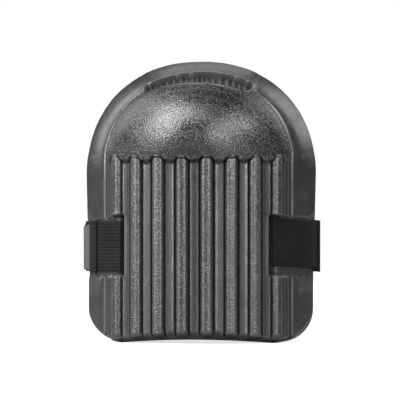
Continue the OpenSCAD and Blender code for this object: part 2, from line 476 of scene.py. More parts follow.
    def from_rib(self, x: np.ndarray) -> np.ndarray:
        """Distances round the front from the middle of the nearest ridge.

        Args:
            x: Places across.

        Returns:
            Distances, never negative.
        """
        arc_x = self.round_front(x)
        nearest = np.clip(np.floor(arc_x / self.rib_pitch), 0, self.rib_count // 2 - 1) + 0.5
        return np.abs(arc_x - nearest * self.rib_pitch)

    def panel_relief(self, x: np.ndarray, z: np.ndarray, inside: np.ndarray) -> np.ndarray:
        """The ridges, the bands between them and the dome that they run up to.

        Args:
            x: Places across.
            z: Heights.
            inside: Distances inwards from the dome's edge.

        Returns:
            Heights of the relief.
        """
        arc_x = self.round_front(x)
        away = self.from_rib(x)
        last = (self.rib_count / 2.0 - 0.5) * self.rib_pitch
        outermost = smooth_step(arc_x, last + 7.0 * MM, last + 9.0 * MM)
        wobble = 0.5 * MM * ripple(x, 0.0 * z, 31.0 * MM, 2.0)

        across_dome, up_dome = x / self.dome_wide, (z - self.dome_middle) / self.dome_tall
        bulge = np.clip(1.0 - across_dome**2 - up_dome**2, 0.0, 1.0)
        dome = self.dome_edge + self.dome_bulge * bulge**1.9
        dome = dome - 1.6 * MM * np.exp(-np.clip(inside, 0.0, None) / (5.0 * MM))
        across_band = np.clip((self.rib_pitch / 2.0 - away) / (4.4 * MM), 0.0, 1.2)
        low = self.band_top + wobble + 1.2 * MM * outermost
        low = low + self.lip_rise * across_band**2 * (1.0 - outermost)
        high = self.band_top + wobble + self.lip_rise + 0.6 * MM
        plate = smooth_step(z, low - 0.3 * MM, np.maximum(high, low + 0.6 * MM))
        base = dome * plate

        tip = np.clip((z - wobble - self.band_top - 0.8 * MM) / self.tip_rise, 0.0, 1.0)
        half = self.rib_half * np.sqrt(1.0 - tip**2) + 1e-6
        end = smooth_step(z - self.foot(x), 1.5 * MM, 6.0 * MM)
        crown = self.rib_height * end
        across_rib = np.clip(away / half, 0.0, 1.0)
        swell = (1.0 - across_rib**2.6) ** 0.7 - 0.10 * np.exp(-((away / (1.3 * MM)) ** 2))
        ridge = np.maximum(crown - base, 0.15 * MM) * swell * (tip < 1.0)

        slot = np.exp(-(((away - half - 0.4 * MM) / (0.55 * MM)) ** 2)) * (tip < 1.0)
        depth = self.slot_depth * (1.0 - 0.55 * tip) * end
        arris = np.exp(-(((away - half - 1.5 * MM) / (0.42 * MM)) ** 2)) * (1.0 - plate) * end
        h = base + ridge - depth * slot + self.arris_rise * arris

        rim = 1.0 - smooth_step(-inside, 0.0, 9.0 * MM)
        valley = np.exp(-(((inside + 2.0 * MM) / (1.15 * MM)) ** 2))
        edge = np.exp(-(((inside + 0.2 * MM) / (0.5 * MM)) ** 2))
        outside = smooth_step(-inside, 0.0, 0.8 * MM)
        h = h * (1.0 - outside) - self.rim_step * rim * outside
        return h - self.crease * valley + self.edge_rise * edge

    def bevel_share(self, x: np.ndarray) -> np.ndarray:
        """How much of the lower bevel each place gets: all of it on the flat, none at the side."""
        flat = self.foot_half - self.corner_r
        return 1.0 - np.clip((np.abs(x) - flat) / self.corner_r, 0.0, 1.0) ** 2

    def recess_line(self, x: np.ndarray) -> np.ndarray:
        """Height of the recess's lower edge at each place across, before its waves."""
        return self.recess_low - self.recess_low_bow * ((x + 1.5 * MM) / (36.0 * MM)) ** 2

    def recess_parts(
        self, x: np.ndarray, z: np.ndarray
    ) -> tuple[np.ndarray, np.ndarray, np.ndarray, np.ndarray]:
        """Finds the pleated recess above the dome.

        Args:
            x: Places across.
            z: Heights.

        Returns:
            How much each place is in the recess, in the deep line along its top and ends, on a
            pleat, and on the wavy lip below it, each from 0 to 1.
        """
        top = self.recess_top - self.recess_top_bow * ((x - 2.0 * MM) / (39.0 * MM)) ** 2
        low = self.recess_line(x) - 2.2 * MM * np.exp(-(((x - 7.3 * MM) / (2.8 * MM)) ** 2))
        low = low + 4.5 * MM * smooth_step(x, 33.0 * MM, 40.0 * MM)
        to_top, to_low, to_end = top - z, z - low, self.recess_half - np.abs(x)
        band = smooth_step(to_top, -0.15 * MM, 0.35 * MM) * smooth_step(to_low, -0.3 * MM, 0.5 * MM)
        band = band * smooth_step(to_end, -0.2 * MM, 0.4 * MM)
        beyond = np.clip(np.minimum(to_top, to_end) - self.moat_width, 0.0, None)
        moat = np.exp(-((beyond / (0.4 * MM)) ** 2))
        phase = math.pi * x / self.pleat_pitch + 0.8 * np.sin(x / (6.1 * MM)) + 0.12 * to_low / MM
        crest = (1.0 - np.abs(np.sin(phase))) ** 1.1 * (0.75 + 0.25 * np.sin(x / (3.3 * MM) + 1.0))
        lip = np.exp(-(((to_low + 0.9 * MM) / (0.9 * MM)) ** 2))
        lip = lip * smooth_step(to_end, -5.0 * MM, 0.0)
        return band, moat * band, crest, lip

    def cut_recess(self, h: np.ndarray, x: np.ndarray, z: np.ndarray) -> np.ndarray:
        """Sinks the pleated recess above the dome.

        Args:
            h: The relief so far.
            x: Places across.
            z: Heights.

        Returns:
            The relief with the recess in it.
        """
        band, moat, crest, lip = self.recess_parts(x, z)
        floor = -self.recess_depth + self.pleat_rise * crest
        floor = floor * (1.0 - moat) - self.moat_depth * moat
        low = self.recess_line(x)
        plain = smooth_step(z, low - 2.6 * MM, low - 1.2 * MM)
        beside = smooth_step(np.abs(x), self.recess_half, self.recess_half + 4.0 * MM)
        plain = plain * (1.0 - beside)
        h = h * (1.0 - plain) + 0.3 * MM * plain
        return h * (1.0 - band) + floor * band + self.lip_height * lip * (1.0 - band)

    def strap_gate(self, x: np.ndarray, z: np.ndarray) -> np.ndarray:
        """1 where the strap channels are and 0 elsewhere, with sloping ends.

        Args:
            x: Places across.
            z: Heights.

        Returns:
            Shares from 0 to 1.
        """
        side = np.abs(x)
        out = np.clip(side - self.slit_to, 0.0, None)
        low = self.strap_low - 0.12 * out
        high = self.strap_high - np.where(x < 0.0, 0.2, 0.09) * out
        gate = smooth_step(z, low - 1.2 * MM, low) * (1.0 - smooth_step(z, high, high + 1.2 * MM))
        return gate * smooth_step(side, self.slit_from - 0.5 * MM, self.slit_from + 0.2 * MM)

    def cut_channels(self, h: np.ndarray, x: np.ndarray, z: np.ndarray) -> np.ndarray:
        """Lowers the front where the strap lies, and starts the slit that it comes out of.

        Args:
            h: The relief so far.
            x: Places across.
            z: Heights.

        Returns:
            The relief with the channels and slits in it.
        """
        gate = self.strap_gate(x, z)
        side = np.abs(x)
        slit = gate * (1.0 - smooth_step(side, self.slit_to - 0.6 * MM, self.slit_to + 0.1 * MM))
        h = h * (1.0 - gate) - self.channel * gate
        return h - self.slit_start * slit

    def back(self, x: np.ndarray, z: np.ndarray, reach: np.ndarray) -> np.ndarray:
        """Depth of the rear face: the rim, the knee cup, the shin notch and the strap pockets.

        Args:
            x: Places across.
            z: Heights.
            reach: Distances from the middle that the depth follows.

        Returns:
            The rear face's y at each place.
        """
        mouth = math.sqrt(self.cup_r**2 - (self.axis_y - self.rim_y) ** 2)
        below = np.clip(self.cup_floor + mouth - z, 0.0, None)
        inside = np.clip(self.cup_r**2 - reach**2 - below**2, 1e-8, None)
        cup = self.axis_y - np.sqrt(inside)
        notch_axis = self.rim_y + self.shin_r - self.shin_notch
        notch = notch_axis - np.sqrt(np.clip(self.shin_r**2 - x**2, 1e-8, None))
        notch = np.where(z < 3.0 * self.cup_floor, notch, 1.0)
        rim = self.rim_y + 0.0 * x
        y = soft_min(soft_min(rim, cup, self.cup_fillet), notch, self.cup_fillet)
        pocket = self.axis_y - np.sqrt(np.clip(self.cup_r**2 - x**2, 1e-8, None))
        gate = self.strap_gate(x, z) * smooth_step(-reach, -mouth, -mouth + 2.0 * MM)
        return y * (1.0 - gate) + np.minimum(pocket, y) * gate

    def grain(self, x: np.ndarray, z: np.ndarray, share: np.ndarray) -> np.ndarray:
        """How coarse the foam's grain is: full on the dome and the ridges, slight on the rim.

        Args:
            x: Places across.
            z: Heights.
            share: How far out each mesh line lies.

        Returns:
            Shares from 0 to 1.
        """
        rim = smooth_step(share[None, :] + 0.0 * x, self.dome_ring + 0.002, self.dome_ring + 0.02)
        lower = 1.0 - smooth_step(z, 55.0 * MM, 100.0 * MM)
        away = self.from_rib(x)
        band = smooth_step(away, self.rib_half, self.rib_half + 1.2 * MM) * (z < self.band_top)
        coarser = 0.45 * lower * np.where(x > 0.0, 1.0, 0.55)
        return (1.0 - rim * (0.8 - coarser)) * (1.0 - 0.6 * band)

    def build(self) -> bpy.types.Object:
        """Models the pad as one closed mesh.

        Returns:
            The pad, with point attributes that say how coarse its grain is, where raised edges get
            a painted highlight and where grooves and the recess get painted shade.
        """
        share = self.columns()
        x, z, reach = self.plan(share, 0.0)
        front, height = self.front(x, z, reach, share)
        bx, bz, back_reach = self.plan(share, self.rim_round)
        back = np.stack([bx, self.back(bx, bz, back_reach), bz], axis=2)
        wall = self.turn(front[:, -1], x[:, -1], z[:, -1], back[:, -1])
        points = np.concatenate([front, wall[:, 1:-1], back[:, ::-1]], axis=1)
        rest = wall.shape[1] - 2 + back.shape[1]
        painted_highlight, painted_shade = self.painted_light_marks(x, z, height)
        plain = np.zeros((len(x), rest))
        marks = {
            "grain": np.concatenate([self.grain(x, z, share), plain + self.back_grain], axis=1),
            "painted_highlight": np.concatenate([painted_highlight, plain], axis=1),
            "painted_shade": np.concatenate([painted_shade, plain], axis=1),
        }
        uv = points[..., [0, 2]]
        shells = [grid_piece("pad_foam", points, uv, marks)]
        for row in (0, -1):
            foot = self.turn(front[row], x[row], z[row], back[row])
            none = np.zeros(foot.shape[:2])
            plain = {"grain": none + self.foot_grain, "painted_highlight": none, "painted_shade": none}
            shells.append(grid_piece("pad_foot", foot, foot[..., [0, 1]], plain))
        pad = join(shells, "pad_foam")
        weld(pad)
        return pad

    def front(
        self, x: np.ndarray, z: np.ndarray, reach: np.ndarray, share: np.ndarray
    ) -> tuple[np.ndarray, np.ndarray]:
        """Lays the front on its curved shell and raises the relief on it.

        Args:
            x: Places across.
            z: Heights.
            reach: Distances from the middle that the depth follows.
            share: How far out each mesh line lies.

        Returns:
            Rows by columns by 3 places, and the relief's height at each.
        """
        shell = np.stack([x, self.axis_y - np.sqrt(self.front_r**2 - reach**2), z], axis=2)
        normal = np.cross(np.gradient(shell, axis=1), np.gradient(shell, axis=0))
        normal[:, 0] = (0.0, -1.0, 0.0)
        normal /= np.maximum(np.linalg.norm(normal, axis=2, keepdims=True), 1e-12)
        normal[normal[..., 1] > 0.0] *= -1.0
        height = self.relief(x, z, share)
        return shell + normal * height[..., None], height

    def turn(self, edge: np.ndarray, x: np.ndarray, z: np.ndarray, end: np.ndarray) -> np.ndarray:
        """The wall and rounded rear edge that join a line of the front to a line of the back.

        Args:
            edge: The line of the front.
            x: Its places across before the relief.
            z: Its heights before the relief.
            end: The line of the back.

        Returns:
            Lines by steps by 3 places, with the two lines as first and last steps.
        """
        start = self.rim_y - self.rim_round
        plain = np.stack([x, np.full_like(x, start), z], axis=1)
        steps = [edge + share * (plain - edge) for share in (0.0, 0.35, 0.7)]
        for angle in np.linspace(0.0, math.pi / 2.0, 7):
            inward = (1.0 - math.cos(angle)) * (end - plain)
            step = plain + inward
            step[:, 1] = start + math.sin(angle) * (end[:, 1] - start)
            steps.append(step)
        return np.stack(steps, axis=1)

    def painted_light_marks(
        self, x: np.ndarray, z: np.ndarray, height: np.ndarray
    ) -> tuple[np.ndarray, np.ndarray]:
        """Where each place of the front gets a painted highlight, and where it gets painted shade.

        Args:
            x: Places across.
            z: Heights.
            height: Heights of the relief.

        Returns:
            Shares that are high on raised edges, for the painted highlight, and shares that are
            high in grooves and the recess, for the painted shade.
        """
        bend = np.zeros((2,) + height.shape)
        bend[0, :, 2:-2] = 2.0 * height[:, 2:-2] - height[:, :-4] - height[:, 4:]
        bend[1, 2:-2] = 2.0 * height[2:-2] - height[:-4] - height[4:]
        # Painted highlight: where the front bends outwards, on raised edges and lips, its colour is
        # lightened.
        painted_highlight = np.clip(bend.max(axis=0) / (1.6 * MM) - 0.2, 0.0, 1.0)
        # Painted shade: where the front bends inwards, in grooves, slots and creases, its colour is
        # darkened.
        painted_shade = np.clip(-bend.min(axis=0) / (0.9 * MM), 0.0, 1.0)
        band, moat, crest, _ = self.recess_parts(x, z)
        # Painted shade in the recess: strongest along its deep line and weaker on the pleats'
        # crests.
        deep = np.maximum(moat, band * (0.95 - 0.7 * crest))
        return painted_highlight, np.maximum(painted_shade, deep)


# ---------------------------------------------------------------- webbing and tapes


@dataclass(frozen=True)
class Weave:
    """The cross-section of a woven band."""

    width: float
    thickness: float
    ribs: int
    rib_depth: float
    edge: float = 0.45 * MM

    def outline(self) -> tuple[np.ndarray, np.ndarray]:
        """The closed cross-section.

        Returns:
            Places across the band and out from its middle surface; the last repeats the first.
        """
        half, thick = self.width / 2.0, self.thickness / 2.0
        flat = half - self.edge
        across = np.linspace(-flat, flat, 6 * self.ribs + 1)
        swell = np.sqrt(np.abs(np.sin(np.linspace(0.0, math.pi * self.ribs, len(across)))))
        out = thick - self.rib_depth * (1.0 - swell)
        turn = np.linspace(math.pi / 2.0, -math.pi / 2.0, 7)[1:-1]
        edge_across = flat + self.edge * np.cos(turn)
        edge_out = (thick - self.rib_depth) * np.sin(turn)
        ring_across = np.concatenate([across, edge_across, across[::-1], -edge_across[::-1]])
        ring_out = np.concatenate([out, edge_out, -out[::-1], edge_out[::-1]])
        return np.append(ring_across, ring_across[0]), np.append(ring_out, ring_out[0])


class Band:
    """A flat band that follows a route in plan, with its width upright."""

    def __init__(self, route: np.ndarray, middle: float, closed: bool = False) -> None:
        """Takes the route.

        Args:
            route: Places in plan, travelled so that outside is on the right.
            middle: Height of the band's middle line.
            closed: Whether the last place repeats the first.
        """
        self.route = route
        self.closed = closed
        self.middle = middle
        self.normal = outward(route, closed)
        steps = np.linalg.norm(np.diff(route, axis=0), axis=1)
        self.along = np.concatenate([[0.0], np.cumsum(steps)])
        self.drop = np.zeros(len(route))
        self.lean = np.zeros(len(route))
        self.narrow = np.ones(len(route))
        self.swell = np.zeros(len(route))

    def place(self, along: np.ndarray, across: np.ndarray, out: np.ndarray) -> np.ndarray:
        """Finds places on or beside the band.

        Args:
            along: Distances from the band's start.
            across: Distances up from its middle line.
            out: Distances outwards from its middle surface.

        Returns:
            Places, with a last axis of 3.
        """
        def at(values: np.ndarray) -> np.ndarray:
            """Reads a value that changes along the band."""
            return np.interp(along, self.along, values)

        out = out + at(self.lean) * across / (19.0 * MM) + at(self.swell)
        x = at(self.route[:, 0]) + at(self.normal[:, 0]) * out
        y = at(self.route[:, 1]) + at(self.normal[:, 1]) * out
        z = self.middle - at(self.drop) + across * at(self.narrow)
        return np.stack([x, y, z], axis=-1)

    def build(self, name: str, weave: Weave) -> bpy.types.Object:
        """Models the band.

        Args:
            name: The piece's name.
            weave: Its cross-section.

        Returns:
            The band as one closed mesh, with its surface coordinates in metres.
        """
        across, out = weave.outline()
        along = self.along[:, None] + 0.0 * across[None, :]
        points = self.place(along, across[None, :] + 0.0 * along, out[None, :] + 0.0 * along)
        if self.closed:
            points[-1] = points[0]
        points[:, -1] = points[:, 0]
        side = np.concatenate([[0.0], np.cumsum(np.hypot(np.diff(across), np.diff(out)))])
        piece = grid_piece(name, points, np.stack([along, side[None, :] + 0.0 * along], axis=2))
        weld(piece)
        return piece


def stitches(
    name: str, band: Band, along: float, out: float, length: float, count: int, pitch: float,
    slant: float = 0.0,
) -> bpy.types.Object:
    """Sews an upright row of stitches on a band.

    Args:
        name: The row's name.
        band: What it is sewn on.
        along: Where the row is, from the band's start.
        out: How far the thread's middle lies out from the band's middle surface.
        length: Length of one stitch.
        count: How many there are.
        pitch: Distance from one to the next.
        slant: How far along the band the row moves from its lowest stitch to its highest.

    Returns:
        The row as one object.
    """
    rings, sides, radius = 9, 8, 0.34 * MM
    t = np.linspace(-1.0, 1.0, rings)
    girth = radius * np.sqrt(np.clip(1.0 - np.abs(t) ** 3.0, 0.0, 1.0))
    turn = np.linspace(0.0, 2.0 * math.pi, sides + 1)
    made = []
    for index in range(count):
        middle = (index - (count - 1) / 2.0) * pitch
        across = middle + t[:, None] * length / 2.0 + 0.0 * turn[None, :]
        twist = girth[:, None] * np.cos(turn + 2.0 * t[:, None])
        lift = out + girth[:, None] * np.sin(turn + 2.0 * t[:, None]) - 0.16 * MM * t[:, None] ** 2
        wander = 0.12 * MM * math.sin(2.1 * index)
        where = along + wander + twist + slant * across / (38.0 * MM)
        points = band.place(where, across, lift)
        side = np.stack([across, 0.2 * MM * turn[None, :] + 0.0 * across], axis=2)
        made.append(grid_piece(f"{name}_{index}", points, side))
    row = join(made, name)
    weld(row)
    return row


@dataclass
class Straps:
    """The two loops through the foam, the long strap behind the leg and its fastening."""

    shape: PadShape
    thick: float = 1.4 * MM
    tape: float = 1.0 * MM
    hook: float = 1.0 * MM
    gap: float = 0.3 * MM
    width: float = 38.0 * MM
    hook_width: float = 32.0 * MM
    power: float = 2.6
    strap_end: float = 162.0
    hook_start: float = 126.0
    tape_end: float = 117.0
    hem: float = 5.0 * MM
    hem_inset: float = 4.0 * MM
    stitch: float = 2.4 * MM
    stitch_pitch: float = 3.4 * MM
    thread_sink: float = 0.12 * MM
    hem_rise: float = 1.2 * MM

    def __post_init__(self) -> None:
        """Reads the places of the straps from the frame."""
        low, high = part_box("right_loop")
        self.middle = (low.z + high.z) / 2.0
        self.side = high.x - self.gap - self.thick
        strap_low, strap_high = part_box("long_strap")
        self.hinge = (strap_high.x - self.thick / 2.0, strap_low.y + self.thick / 2.0)
        self.wrap_y = high.y
        self.wrap_b = strap_high.y - self.thick / 2.0 - self.wrap_y
        tape_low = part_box("loop_tape")[0]
        self.lap = self.thick / 2.0 + self.hook + self.gap + self.tape / 2.0
        self.tape_x = -tape_low.x - self.tape / 2.0
        self.wrap_a = (self.hinge[0] + self.tape_x + self.lap) / 2.0
        self.wrap_x = (self.hinge[0] - self.tape_x - self.lap) / 2.0
        self.loop_r = self.shape.front_r - self.shape.channel + self.gap + self.thick
        self.tape_r = self.loop_r + self.gap + self.tape / 2.0
        self.hem_x = self.side - self.hem_inset

    def wrap(self, start: float, end: float, out: float, count: int) -> np.ndarray:
        """A length of the strap's way round the leg.

        Args:
            start: Where it starts, in degrees from the right side.
            end: Where it ends.
            out: How far outside the strap's middle it runs.
            count: How many places.

        Returns:
            Places in plan.
        """
        angle = np.radians(np.linspace(start, end, count))
        cos, sin = np.cos(angle), np.sin(angle)
        u = np.sign(cos) * np.abs(cos) ** (2.0 / self.power)
        v = np.abs(sin) ** (2.0 / self.power)
        nx = np.sign(u) * np.abs(u) ** (self.power - 1.0) / self.wrap_a
        ny = v ** (self.power - 1.0) / self.wrap_b
        size = np.hypot(nx, ny)
        x = self.wrap_x + self.wrap_a * u + out * nx / size
        y = self.wrap_y + self.wrap_b * v + out * ny / size
        return np.stack([x, y], axis=1)

    def loop_route(self) -> np.ndarray:
        """The way of the right loop round the bar of foam beside its slit, in plan.

        Returns:
            Places in plan; the last repeats the first.
        """
        shape = self.shape
        out = self.gap + self.thick / 2.0
        front_r = shape.front_r - shape.channel + out
        cup_r = shape.cup_r - out
        slit, side, rear = shape.slit_to - out, self.side + out, shape.rim_y + out
        axis = shape.axis_y

        def across(radius: float, start: float, end: float) -> np.ndarray:
            """An arc round the leg between two places across the pad."""
            x = np.linspace(start, end, 60)
            return np.stack([x, axis - np.sqrt(radius**2 - x**2)], axis=1)

        mouth = math.sqrt(cup_r**2 - (axis - rear) ** 2)
        front, inner = across(front_r, slit, side), across(cup_r, mouth, slit)
        corners = [front, [[side, rear]], inner]
        ring = np.concatenate(corners + [front[:1]])
        ring = resample(ring, 261)[:-1]
        reach = np.arange(-12, 13)
        weight = np.exp(-0.5 * (reach * 0.5 / 1.15) ** 2)
        weight /= weight.sum()
        soft = sum(w * np.roll(ring, int(k), axis=0) for w, k in zip(weight, reach))
        return np.concatenate([soft, soft[:1]])

    def right_loop(self) -> bpy.types.Object:
        """Models the right loop, whose end droops and stands off a little at the bottom.

        Returns:
            The loop as one closed mesh.
        """
        band = Band(self.loop_route(), self.middle, closed=True)
        out = smooth_step(band.route[:, 0], 56.0 * MM, 84.0 * MM)
        band.drop = (2.0 * out - 2.6) * MM
        band.narrow = 0.93 - 0.01 * out
        return band.build("right_webbing", Weave(self.width, self.thick, 24, 0.34 * MM))

    def left_loop(self) -> bpy.types.Object:
        """Models the left loop with its raised, folded hem.

        Returns:
            The loop and its hem as one object.
        """
        route = self.loop_route()[::-1] * (-1.0, 1.0)
        band = Band(route, self.middle, closed=True)
        out = smooth_step(-band.route[:, 0], 58.0 * MM, 84.0 * MM)
        band.drop = (0.9 + 0.3 * out) * MM
        band.narrow = 0.97 + 0.0 * out
        loop = band.build("left_webbing", Weave(self.width, self.thick, 15, 0.42 * MM))
        hem = self.hem_band()
        weave = Weave(self.width + 0.8 * MM, self.hem_rise + 0.5 * MM, 15, 0.2 * MM)
        fold = hem.build("left_hem", weave)
        return join([loop, fold], "left_webbing")

    def hem_band(self) -> Band:
        """The folded hem's way across the left loop, thickest in its middle.

        Returns:
            The hem's band.
        """
        x = np.linspace(-self.hem_x, -self.hem_x + self.hem, 40)
        radius = self.loop_r + self.hem_rise / 2.0 - 0.25 * MM
        route = np.stack([x, self.shape.axis_y - np.sqrt(radius**2 - x**2)], axis=1)
        band = Band(route, self.middle)
        share = np.linspace(-1.0, 1.0, len(x))
        seam = 0.45 * MM * np.exp(-(((share + 0.15) / 0.14) ** 2))
        band.swell = 0.25 * MM * (1.0 - share**4) - seam
        band.drop = np.full(len(x), 1.2 * MM)
        band.narrow = np.full(len(x), 0.97)
        return band

    def strap_band(self) -> Band:
        """The long strap's way, from its seam at the right round behind the leg.

        Returns:
            The strap's band.
        """
        straight = np.linspace(self.hinge[1], self.wrap_y, 12, endpoint=False)
        lead = np.stack([np.full_like(straight, self.hinge[0]), straight], axis=1)
        route = np.concatenate([lead, self.wrap(0.0, self.strap_end, 0.0, 400)])
        return self.droop(Band(resample(route, 300), self.middle))

    def droop(self, band: Band) -> Band:
        """Lets a band that crosses behind the leg sag a little towards its middle.

        Args:
            band: The band, which is changed.

        Returns:
            The same band.
        """
        share = band.route[:, 0] / self.wrap_a
        behind = smooth_step(band.route[:, 1], self.wrap_y, self.wrap_y + self.wrap_b)
        band.drop = 1.2 * MM + 1.6 * MM * behind * (1.0 - share**2)
        return band

    def long_strap(self) -> bpy.types.Object:
        """Models the long strap."""
        return self.strap_band().build("long_webbing", Weave(self.width, self.thick, 30, 0.22 * MM))

    def tape_band(self) -> Band:
        """The fastening tape's way: from behind the leg forwards and over the left side.

        Returns:
            The tape's band.
        """
        back = self.wrap(self.tape_end, 180.0, -self.lap, 160)
        x = np.linspace(-self.tape_x, -self.hem_x - 1.0 * MM, 30)
        front = np.stack([x, self.shape.axis_y - np.sqrt(self.tape_r**2 - x**2)], axis=1)
        route = resample(np.concatenate([back, front]), 170)
        band = self.droop(Band(route, self.middle))
        turn = np.exp(-(((route[:, 1] - 22.0 * MM) / (14.0 * MM)) ** 2))
        band.narrow = 1.0 - 0.16 * turn
        band.drop = band.drop + 1.2 * MM * turn
        return band

    def loop_tape(self) -> bpy.types.Object:
        """Models the fastening tape."""
        return self.tape_band().build("fastening_tape", Weave(self.width, self.tape, 12, 0.03 * MM))

    def row(
        self, name: str, band: Band, along: float, out: float, count: int = 10, slant: float = 0.0
    ) -> bpy.types.Object:
        """Sews one of the straps' rows, all of which have the same stitch."""
        return stitches(name, band, along, out, self.stitch, count, self.stitch_pitch, slant)

    def hem_stitches(self) -> bpy.types.Object:
        """Sews the hem's seam.

        Returns:
            The row as one object.
        """
        band = self.hem_band()
        out = self.hem_rise / 2.0 + 0.45 * MM
        return self.row("hem_thread", band, band.along[-1] / 2.0, out, slant=-1.2 * MM)

    def anchor_stitches(self) -> bpy.types.Object:
        """Sews the two rows that join the long strap to the right loop.

        Returns:
            Both rows as one object.
        """
        band = self.strap_band()
        out = self.thick / 2.0 - self.thread_sink
        rows = [self.row(f"anchor_{at}", band, at * MM, out) for at in (1.0, 6.0)]
        return join(rows, "anchor_thread")

    def hook_stitches(self) -> bpy.types.Object:
        """Sews a row at each end of the hook tape.

        Returns:
            Both rows as one object.
        """
        band = self.strap_band()
        out = self.thick / 2.0 + self.thread_sink
        rows = []
        for angle in (self.hook_start + 2.0, self.strap_end - 2.0):
            place = self.wrap(angle, angle, 0.0, 1)[0]
            nearest = int(np.argmin(np.hypot(*(band.route - place).T)))
            rows.append(self.row(f"hook_row_{nearest}", band, band.along[nearest], out, count=9))
        return join(rows, "hook_thread")

    def tape_stitches(self) -> bpy.types.Object:
        """Sews the row that edges the fastening tape's free end."""
        band = self.tape_band()
        return self.row("tape_thread", band, 4.0 * MM, -self.tape / 2.0 - self.thread_sink)

    def hook_band(self) -> Band:
        """The hook tape's way along the inside of the strap's free end.

        Returns:
            The hook tape's band.
        """
        out = -self.thick / 2.0 - 0.2 * MM
        route = resample(self.wrap(self.hook_start, self.strap_end, out, 200), 70)
        return self.droop(Band(route, self.middle))

    def hook_tape(self) -> bpy.types.Object:
        """Models the hook tape: a thin base with rows of bent hooks.

        Returns:
            The tape and its hooks as one object.
        """
        band = self.hook_band()
        base = band.build("hook_base", Weave(self.hook_width, 0.45 * MM, 10, 0.03 * MM))
        rows = np.arange(1.2 * MM, band.along[-1] - 1.0 * MM, 1.5 * MM)
        half = self.hook_width / 2
        columns = np.arange(-half + 1.2 * MM, half - 1.0 * MM, 1.7 * MM)
        path_out = -np.array([0.1, 0.4, 0.62, 0.72, 0.66, 0.5]) * MM
        path_along = np.array([0.0, 0.0, 0.05, 0.2, 0.36, 0.42]) * MM
        radius = np.array([0.17, 0.14, 0.12, 0.11, 0.09, 0.0]) * MM
        turn = np.linspace(0.0, 2.0 * math.pi, 5)
        made = []
        for i, row in enumerate(rows):
            for column in columns:
                way = 1.0 if i % 2 else -1.0
                along = row + way * path_along[:, None] + radius[:, None] * np.cos(turn)
                across = column + radius[:, None] * np.sin(turn)
                points = band.place(along, across, path_out[:, None] + 0.0 * across)
                made.append(grid_piece("hook", points, np.stack([along, across], axis=2)))
        hooks = join([base] + made, "hook_tape_face")
        weld(hooks)
        return hooks


# ---------------------------------------------------------------- finishes


class Weaving(Enum):
    """The kinds of woven surface."""

    RIBBED = 1.0
    BRUSHED = 0.35
    TWISTED = 0.7


class Graph:
    """A node tree that is wired up one node at a time."""

    def __init__(self, tree: bpy.types.NodeTree) -> None:
        """Takes the tree to work in."""
        self.tree = tree

    def add(self, kind: str, values: dict | None = None, **settings: object) -> bpy.types.Node:
        """Adds a node.

        Args:
            kind: The node's type, without the ShaderNode in front.
            values: For its input sockets, either a constant or another node's output socket.
            settings: The node's own properties.

        Returns:
            The node.
        """
        node = self.tree.nodes.new(f"ShaderNode{kind}")
        for name, setting in settings.items():
            setattr(node, name, setting)
        self.fill(node, values or {})
        return node

    def fill(self, node: bpy.types.Node, values: dict) -> None:
        """Links or sets a node's inputs, each to another node's output or to a constant."""
        for name, value in values.items():
            if isinstance(value, bpy.types.NodeSocket):
                self.tree.links.new(value, node.inputs[name])
            else:
                node.inputs[name].default_value = value

    def math(self, operation: str, first: object, second: object = 0.0) -> bpy.types.NodeSocket:
        """Adds a sum, product or other operation and gives its result."""
        return self.add("Math", {0: first, 1: second}, operation=operation).outputs[0]

    def span(
        self, value: object, low: float, high: float, start: float, end: float
    ) -> bpy.types.NodeSocket:
        """Maps the range from low to high on the one from start to end.

        Args:
            value: What is mapped.
            low: Value that gives start.
            high: Value that gives end.
            start: Result at low.
            end: Result at high.

        Returns:
            The mapped value.
        """
        node = self.add("MapRange", {
            "Value": value, "From Min": low, "From Max": high, "To Min": start, "To Max": end,
        })
        return node.outputs["Result"]

    def blend(self, share: object, first: object, second: object) -> bpy.types.NodeSocket:
        """Mixes two colours."""
        return self.add("Mix", {0: share, 6: first, 7: second}, data_type="RGBA").outputs[2]

    def group(self, tree: bpy.types.NodeTree, values: dict) -> bpy.types.Node:
        """Places a shared effect with this finish's own values."""
        return self.add("Group", values, node_tree=tree)

    def bump(
        self, height: bpy.types.NodeSocket, strength: float, distance: float
    ) -> bpy.types.NodeSocket:
        """Turns heights into a normal."""
        values = {"Height": height, "Strength": strength, "Distance": distance}
        return self.add("Bump", values).outputs["Normal"]


def new_group(name: str, inputs: dict[str, float | None], outputs: tuple[str, ...]) -> Graph:
    """Starts a shader node group.

    Args:
        name: The group's name.
        inputs: Its inputs with their usual values; None makes a vector input.
        outputs: Its outputs, all plain values.

    Returns:
        The graph of its tree, with its input and output nodes in it.
    """
    tree = bpy.data.node_groups.new(name, "ShaderNodeTree")
    for label, usual in inputs.items():
        kind = "NodeSocketVector" if usual is None else "NodeSocketFloat"
        socket = tree.interface.new_socket(label, in_out="INPUT", socket_type=kind)
        if usual is not None:
            socket.default_value = usual
    for label in outputs:
        tree.interface.new_socket(label, in_out="OUTPUT", socket_type="NodeSocketFloat")
    tree.nodes.new("NodeGroupInput")
    tree.nodes.new("NodeGroupOutput")
    return Graph(tree)


def finish_group(graph: Graph, results: dict[str, bpy.types.NodeSocket]) -> bpy.types.NodeTree:
    """Joins a group's results to its outputs and gives the group.

    Args:
        graph: The group's graph.
        results: What each output gives.

    Returns:
        The group's tree.
    """
    end = next(node for node in graph.tree.nodes if node.bl_idname == "NodeGroupOutput")
    graph.fill(end, results)
    return graph.tree


def group_inputs(graph: Graph) -> bpy.types.NodeOutputs:
    """The outputs of a group's input node."""
    return next(node for node in graph.tree.nodes if node.bl_idname == "NodeGroupInput").outputs


